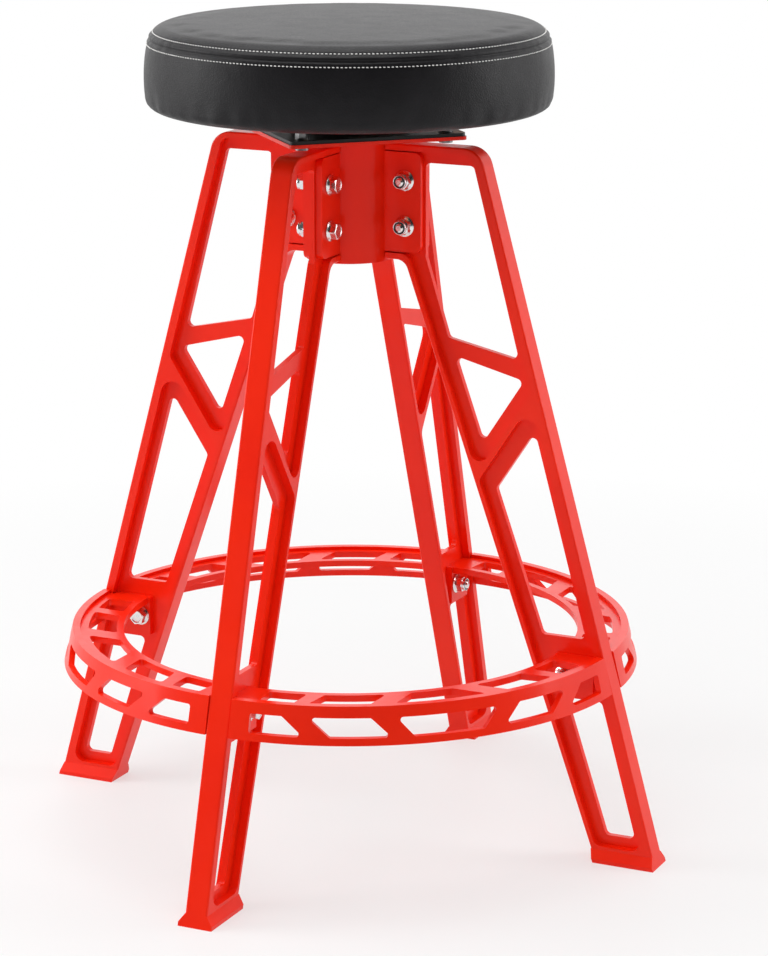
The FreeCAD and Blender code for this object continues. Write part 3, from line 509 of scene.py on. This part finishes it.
def swollen_pad():
    """Search tree of the foam's outside, puffed up under its skin."""
    mesh = turn(seat_profile(inset=PAD_INSET), PAD_STEPS)
    bmesh.ops.recalc_face_normals(mesh, faces=mesh.faces[:])
    data = bpy.data.meshes.new("pad_form")
    mesh.to_mesh(data)
    mesh.free()
    form = bpy.data.objects.new("pad_form", data)
    bpy.context.scene.collection.objects.link(form)
    remesh = form.modifiers.new("even", "REMESH")
    remesh.mode = "VOXEL"
    remesh.voxel_size = PAD_VOXEL
    even = bpy.data.meshes.new_from_object(
        form.evaluated_get(bpy.context.evaluated_depsgraph_get()))
    form.modifiers.clear()
    form.data = even
    puff_up(form)
    mesh = bmesh.new()
    mesh.from_mesh(form.data)
    bmesh.ops.smooth_vert(mesh, verts=mesh.verts[:], factor=0.5, use_axis_x=True,
                          use_axis_y=True, use_axis_z=True)
    tree = BVHTree.FromBMesh(mesh)
    mesh.free()
    bpy.data.objects.remove(form)
    return tree


def seam_relief(radius, height, angle):
    """How far the skin stands proud of its section beside the seams."""
    from_seam = math.hypot(radius - SEAM[0], height - SEAM[1])
    from_upper = math.hypot(radius - UPPER_ROW[0], height - UPPER_ROW[1])
    from_lower = math.hypot(radius - LOWER_ROW[0], height - LOWER_ROW[1])
    crease = -CREASE[0] * mound(from_seam, CREASE[1])
    rows = -ROW_DENT[0] * (mound(from_upper, ROW_DENT[1]) + mound(from_lower, ROW_DENT[1]))
    welt = WELT[0] * mound(from_seam - WELT_PLACE, WELT[1])
    ripple = noise.noise(Vector((angle * 26, height * 40, 3.1)))
    pucker = PUCKER[0] * ripple * mound(from_seam, PUCKER[1])
    return crease + rows + welt + pucker


def joint_relief(height, angle):
    """The upright joint where the side band's two ends meet."""
    if height > UPPER_ROW[1]:
        return 0.0
    across = (angle - PANEL_JOINT) * LOW_RADIUS
    groove = -JOINT_GROOVE[0] * mound(across, JOINT_GROOVE[1])
    lips = JOINT_LIP[0] * mound(abs(across) - JOINT_LIP_PLACE, JOINT_LIP[1])
    return (groove + lips) * smooth_step(SEAT_LOW, SEAT_LOW + 12 * MM, height)


def hem_relief(height, angle):
    """Slack and tucks where the leather is pulled under the board."""
    near = 1 - smooth_step(SEAT_LOW + 2 * MM, SEAT_LOW + 26 * MM, height)
    wave = noise.noise(Vector((math.cos(angle) * 4.2, math.sin(angle) * 4.2, 7.7)))
    tuck = noise.noise(Vector((math.cos(angle) * 11, math.sin(angle) * 11, 2.2)))
    return near * (HEM_SLACK * wave + HEM_TUCK * tuck)


def swells(mesh, pad):
    """How far each free point of the skin goes out to the pad, and which way."""
    moves, ways = {}, {}
    for vert in mesh.verts:
        radius, height = vert.co.xy.length, vert.co.z
        hidden = height < BOARD_HIGH + 1 * MM and radius < BOARD_RADIUS + 1 * MM
        if hidden or (height < BOARD_HIGH + 2 * MM and vert.normal.z < -0.7):
            continue
        normal = vert.normal.copy()
        hit = pad.ray_cast(vert.co + normal * 8 * MM, -normal, 16 * MM)
        moves[vert] = (hit[0] - vert.co).dot(normal) if hit[0] is not None else 0.0
        ways[vert] = normal
    near = {vert: [edge.other_vert(vert) for edge in vert.link_edges] for vert in moves}
    for _ in range(SWELL_PASSES):
        moves = {vert: (swell + sum(moves.get(other, 0.0) for other in near[vert]))
                 / (1 + len(near[vert])) for vert, swell in moves.items()}
    return moves, ways


def seat_skin(leather):
    """The leather cover: pad shape, seams, hem and the joint of its side band."""
    pad = swollen_pad()
    mesh = turn(seat_profile(), SKIN_STEPS)
    bmesh.ops.recalc_face_normals(mesh, faces=mesh.faces[:])
    mesh.normal_update()
    moves, ways = swells(mesh, pad)
    for vert, swell in moves.items():
        radius, height = vert.co.xy.length, vert.co.z
        angle = math.atan2(vert.co.y, vert.co.x)
        lift = min(max(swell, -SWELL_LIMIT), SWELL_LIMIT)
        lift += seam_relief(radius, height, angle)
        lift += joint_relief(height, angle)
        lift += hem_relief(height, angle)
        vert.co += ways[vert] * lift
    skin = BVHTree.FromBMesh(mesh)
    piece = keep(mesh, "seat_leather_cover", "seat", leather)
    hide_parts("seat_cushion")
    return skin


def stitch_row(name, row, slope, skin, thread):
    """Top stitches along the seam, laid on the leather."""
    mesh = bmesh.new()
    count = round(FULL_TURN * row[0] / STITCH_PITCH)
    outward = Vector((math.cos(slope), 0, math.sin(slope)))
    for index in range(count):
        angle = FULL_TURN * index / count
        spin = Matrix.Rotation(angle, 4, "Z")
        normal = spin @ outward
        aim = spin @ Vector((row[0], 0, row[1]))
        hit = skin.ray_cast(aim + normal * 6 * MM, -normal, 12 * MM)
        place = hit[0] if hit[0] is not None else aim
        along = spin @ Vector((0, 1, 0))
        across = normal.cross(along)
        turn_to = Matrix((across, along, normal)).transposed().to_4x4()
        tilt = Matrix.Rotation(STITCH_TILT, 4, "Z")
        size = Matrix.Diagonal((THREAD_WIDTH / 2, STITCH_LENGTH / 2, THREAD_WIDTH / 2, 1))
        spot = Matrix.Translation(place + normal * THREAD_PROUD * THREAD_WIDTH)
        bmesh.ops.create_uvsphere(mesh, u_segments=6, v_segments=5, radius=1.0,
                                  matrix=spot @ turn_to @ tilt @ size)
    return keep(mesh, name, "seat", thread)


# ---- bolts and nuts

def islands(node):
    """Lowest and highest corner of each separate solid of a CAD node."""
    mesh = bmesh.new()
    mesh.from_mesh(frame["nodes"][node].data)
    bmesh.ops.remove_doubles(mesh, verts=mesh.verts[:], dist=1e-6)
    left = set(mesh.verts)
    found = []
    while left:
        group, edge = set(), [left.pop()]
        while edge:
            vert = edge.pop()
            group.add(vert)
            for other in (link.other_vert(vert) for link in vert.link_edges):
                if other in left:
                    left.discard(other)
                    edge.append(other)
        low = Vector([min(vert.co[axis] for vert in group) for axis in range(3)])
        high = Vector([max(vert.co[axis] for vert in group) for axis in range(3)])
        found.append((low, high))
    mesh.free()
    return sorted(found, key=lambda pair: tuple(round(value, 4) for value in pair[0]))


def press_hexagon(mesh, face_radius, high):
    """Pushes the turned wall above the flange out to six flats.

    The corners of the top face slope down from face_radius on.
    """
    for vert in mesh.verts:
        radius = vert.co.xy.length
        if not FLANGE_TOP < vert.co.z < high - 0.1 * MM or radius < face_radius:
            continue
        angle = math.atan2(vert.co.y, vert.co.x)
        part = (angle % (math.pi / 3)) - math.pi / 6
        reach = HEX_FLATS / 2 / math.cos(part)
        vert.co.xy *= reach / radius
        if vert.co.z > (FLANGE_TOP + high) / 2:
            vert.co.z = high - max(reach - face_radius, 0.0) * CHAMFER_SLOPE


def cut_thread(mesh):
    """Winds a shallow thread round the tip of the shank, past the nut."""
    for vert in mesh.verts:
        radius = vert.co.xy.length
        if THREAD_LOW < vert.co.z < THREAD_HIGH and radius > 3.5 * MM:
            turn_part = math.atan2(vert.co.y, vert.co.x) / FULL_TURN
            phase = (vert.co.z / THREAD_PITCH - turn_part) % 1.0
            depth = THREAD_DEPTH * (1 - abs(2 * phase - 1))
            vert.co.xy *= (radius - depth) / radius


def metres(section):
    """A section in metres."""
    return [(radius * MM, height * MM) for radius, height in section]


def set_on(mesh, template, place):
    """Adds a copy of a finished template to a mesh."""
    copy = template.copy()
    bmesh.ops.transform(copy, matrix=place, verts=copy.verts[:])
    data = bpy.data.meshes.new("copy")
    copy.to_mesh(data)
    copy.free()
    mesh.from_mesh(data)
    bpy.data.meshes.remove(data)


def seats_of(node, side):
    """Where each bolt or nut of a node bears on the castings, as matrices.

    Heads stand on the side of their leg that lies to the left when looking
    out from the column; nuts stand on the other side.
    """
    places = []
    for index, (low, high) in enumerate(islands(node)):
        middle = (low + high) / 2
        quarter = round(math.atan2(middle.y, middle.x) / (math.pi / 2))
        outward = Matrix.Rotation(quarter * math.pi / 2, 3, "Z")
        left = outward @ Vector((0, 1, 0))
        reach = [corner.dot(left) for corner in (low, high)]
        spot = middle - left * middle.dot(left)
        if side == HEAD:
            bearing, way = max(reach) - HEAD_HIGH, left
        else:
            bearing, way = max(reach), -left
        turned = way.to_track_quat("Z", "Y").to_matrix().to_4x4()
        twist = Matrix.Rotation(math.radians(FIRST_TWIST + TWIST_STEP * index), 4, "Z")
        places.append(Matrix.Translation(spot + left * bearing) @ turned @ twist)
    return places


def flange_bolt():
    """Bolt with a dished flange, a chamfered hexagon and a threaded tip."""
    points = metres(BOLT_SECTION)
    # the tip is cut into rings, so that the thread has points to move
    points[4:5] = run(points[3], points[4], SHANK_RINGS)
    mesh = turn(points, BOLT_STEPS)
    press_hexagon(mesh, HEAD_FACE, HEAD_HIGH)
    cut_thread(mesh)
    return mesh


def flange_nut():
    """Locking nut with a dished flange and a collar for its nylon ring."""
    mesh = turn(metres(NUT_SECTION), BOLT_STEPS, closed=True)
    press_hexagon(mesh, NUT_FACE, NUT_HIGH)
    return mesh


def nylon_ring():
    """The ring that the nut's collar holds."""
    return turn(metres(RING_SECTION), BOLT_STEPS, closed=True)


def bolts_and_nuts(finishes):
    """Detailed flange bolts and locking nuts in place of the plain ones."""
    sets = (
        ("bolts", HEAD, flange_bolt(), "zinc_plate"),
        ("nuts", NUT, flange_nut(), "zinc_plate"),
        ("nut_inserts", NUT, nylon_ring(), "black_nylon"),
    )
    for kind, side, template, slot in sets:
        for group in ("hub", "ring"):
            mesh = bmesh.new()
            plain = group + "_" + kind
            # the nylon rings share the nuts' bearing faces
            for place in seats_of(plain if side == HEAD else group + "_nuts", side):
                set_on(mesh, template, place)
            piece = keep(mesh, group + "_detailed_" + kind, "frame", finishes[slot])
            sharpen(piece)
            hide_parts(plain)
        template.free()


# ---- studio

def stand_camera(scene):
    """Camera where the photographer stood."""
    view = bpy.data.cameras.new("photo_view")
    view.sensor_width = SENSOR
    view.lens = CAMERA_LENS
    camera = bpy.data.objects.new("photo_view", view)
    camera.location = CAMERA_PLACE
    camera.rotation_euler = CAMERA_LOOK.to_track_quat("-Z", "Y").to_euler()
    scene.collection.objects.link(camera)
    scene.camera = camera


def studio_air(scene):
    """White behind the stool, soft air as light, grey walls for what is glossy."""
    world = bpy.data.worlds.new("studio_air")
    world.use_nodes = True
    tree = world.node_tree
    tree.nodes.clear()
    path = add_node(tree, "LightPath")
    seen = add_node(tree, "Math", {0: path.outputs["Is Camera Ray"],
                                   1: path.outputs["Is Transmission Ray"]},
                    operation="MAXIMUM")
    white = add_node(tree, "Background", {"Color": (1, 1, 1, 1), "Strength": 1.0})
    air = add_node(tree, "Background", {"Color": (1, 1, 1, 1), "Strength": AIR_LEVEL})
    # a bright wall stands behind the stool, dimmer ones beside it, and the room
    # behind the camera is dark
    place = add_node(tree, "TexCoord")
    front = add_node(tree, "VectorMath", {0: place.outputs["Generated"],
                                          1: tuple(-CAMERA_LOOK)}, operation="DOT_PRODUCT")
    level = add_node(tree, "MapRange", {"Value": front.outputs["Value"], "From Min": -1.0})
    walls = add_node(tree, "ValToRGB", {"Fac": level.outputs["Result"]})
    set_stops(walls, WALL_GREYS)
    room = add_node(tree, "Background", {"Color": walls.outputs["Color"]})
    gloss = add_node(tree, "MixShader", {"Fac": path.outputs["Is Glossy Ray"],
                                         1: air.outputs[0], 2: room.outputs[0]})
    mix = add_node(tree, "MixShader", {"Fac": seen.outputs[0],
                                       1: gloss.outputs[0], 2: white.outputs[0]})
    add_node(tree, "OutputWorld", {"Surface": mix.outputs[0]})
    scene.world = world


def hang_softboxes(scene):
    """Area lamps that all face the stool."""
    for name, place, size, power in SOFTBOXES:
        light = bpy.data.lights.new(name, "AREA")
        light.shape = "RECTANGLE"
        light.size, light.size_y = size
        light.energy = power
        lamp = bpy.data.objects.new(name, light)
        lamp.location = place
        # the fill beside the camera leaves no glare of its own
        lamp.visible_glossy = name != "front_fill"
        aim = LAMP_AIM - lamp.location
        lamp.rotation_euler = aim.to_track_quat("-Z", "Y").to_euler()
        scene.collection.objects.link(lamp)


def lay_floor(scene):
    """Pale floor that keeps the shadow and fades to white away from the stool."""
    mesh = bmesh.new()
    bmesh.ops.create_circle(mesh, cap_ends=True, segments=96, radius=FLOOR_RADIUS)
    data = bpy.data.meshes.new("studio_floor")
    mesh.to_mesh(data)
    mesh.free()
    paint = Finish("floor_paint", Roughness=0.6)
    paint.colour(paint.ramp(paint.noise(3.0), (0.3, 0.82), (0.7, 0.84)))
    spot = paint.node("VectorMath", {0: paint.place}, operation="LENGTH")
    far = paint.node("MapRange", {"Value": spot.outputs["Value"], "From Min": FLOOR_FADE[0],
                                  "From Max": FLOOR_FADE[1], "To Min": FLOOR_GLOW})
    glow = paint.node("Emission", {"Color": (1, 1, 1, 1), "Strength": 1.0})
    path = paint.node("LightPath")
    seen = paint.math("MAXIMUM", path.outputs["Is Camera Ray"], path.outputs["Is Glossy Ray"])
    share = paint.math("MULTIPLY", far.outputs["Result"], seen)
    mix = paint.node("MixShader", {"Fac": share, 1: paint.shader.outputs[0],
                                   2: glow.outputs[0]})
    out = paint.tree.nodes["Material Output"]
    paint.tree.links.new(mix.outputs[0], out.inputs["Surface"])
    data.materials.append(paint.material)
    floor = bpy.data.objects.new("studio_floor", data)
    scene.collection.objects.link(floor)


def main():
    """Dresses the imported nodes, adds the detailed pieces and sets the studio."""
    scene = bpy.context.scene
    leather = black_leather()
    thread = pale_thread()
    finishes = {
        "red_paint": red_enamel(), "black_paint": black_enamel(), "zinc_plate": bright_zinc(),
        "black_nylon": black_nylon(), "ball_steel": ball_steel(), "cage_steel": cage_steel(),
        "seat_leather": leather, "plywood": plywood(), "dust_cloth": dust_cloth(),
    }
    slots = {part["node"]: part["material_slot"] for part in frame["record"]["subparts"]}
    # the swivel's hardware gets a darker copy of the zinc finish, as painted shade for the shade
    # under the seat
    shaded = shade_darkened_zinc()
    for name, node in frame["nodes"].items():
        dim = name.startswith("swivel_") and slots[name] == "zinc_plate"
        node.data.materials.clear()
        node.data.materials.append(shaded if dim else finishes[slots[name]])
    bolts_and_nuts(finishes)
    skin = seat_skin(leather)
    stitch_row("upper_stitches", UPPER_ROW, UPPER_SLOPE, skin, thread)
    stitch_row("lower_stitches", LOWER_ROW, LOWER_SLOPE, skin, thread)
    stand_camera(scene)
    scene.view_settings.view_transform = "Standard"
    studio_air(scene)
    hang_softboxes(scene)
    lay_floor(scene)


main()
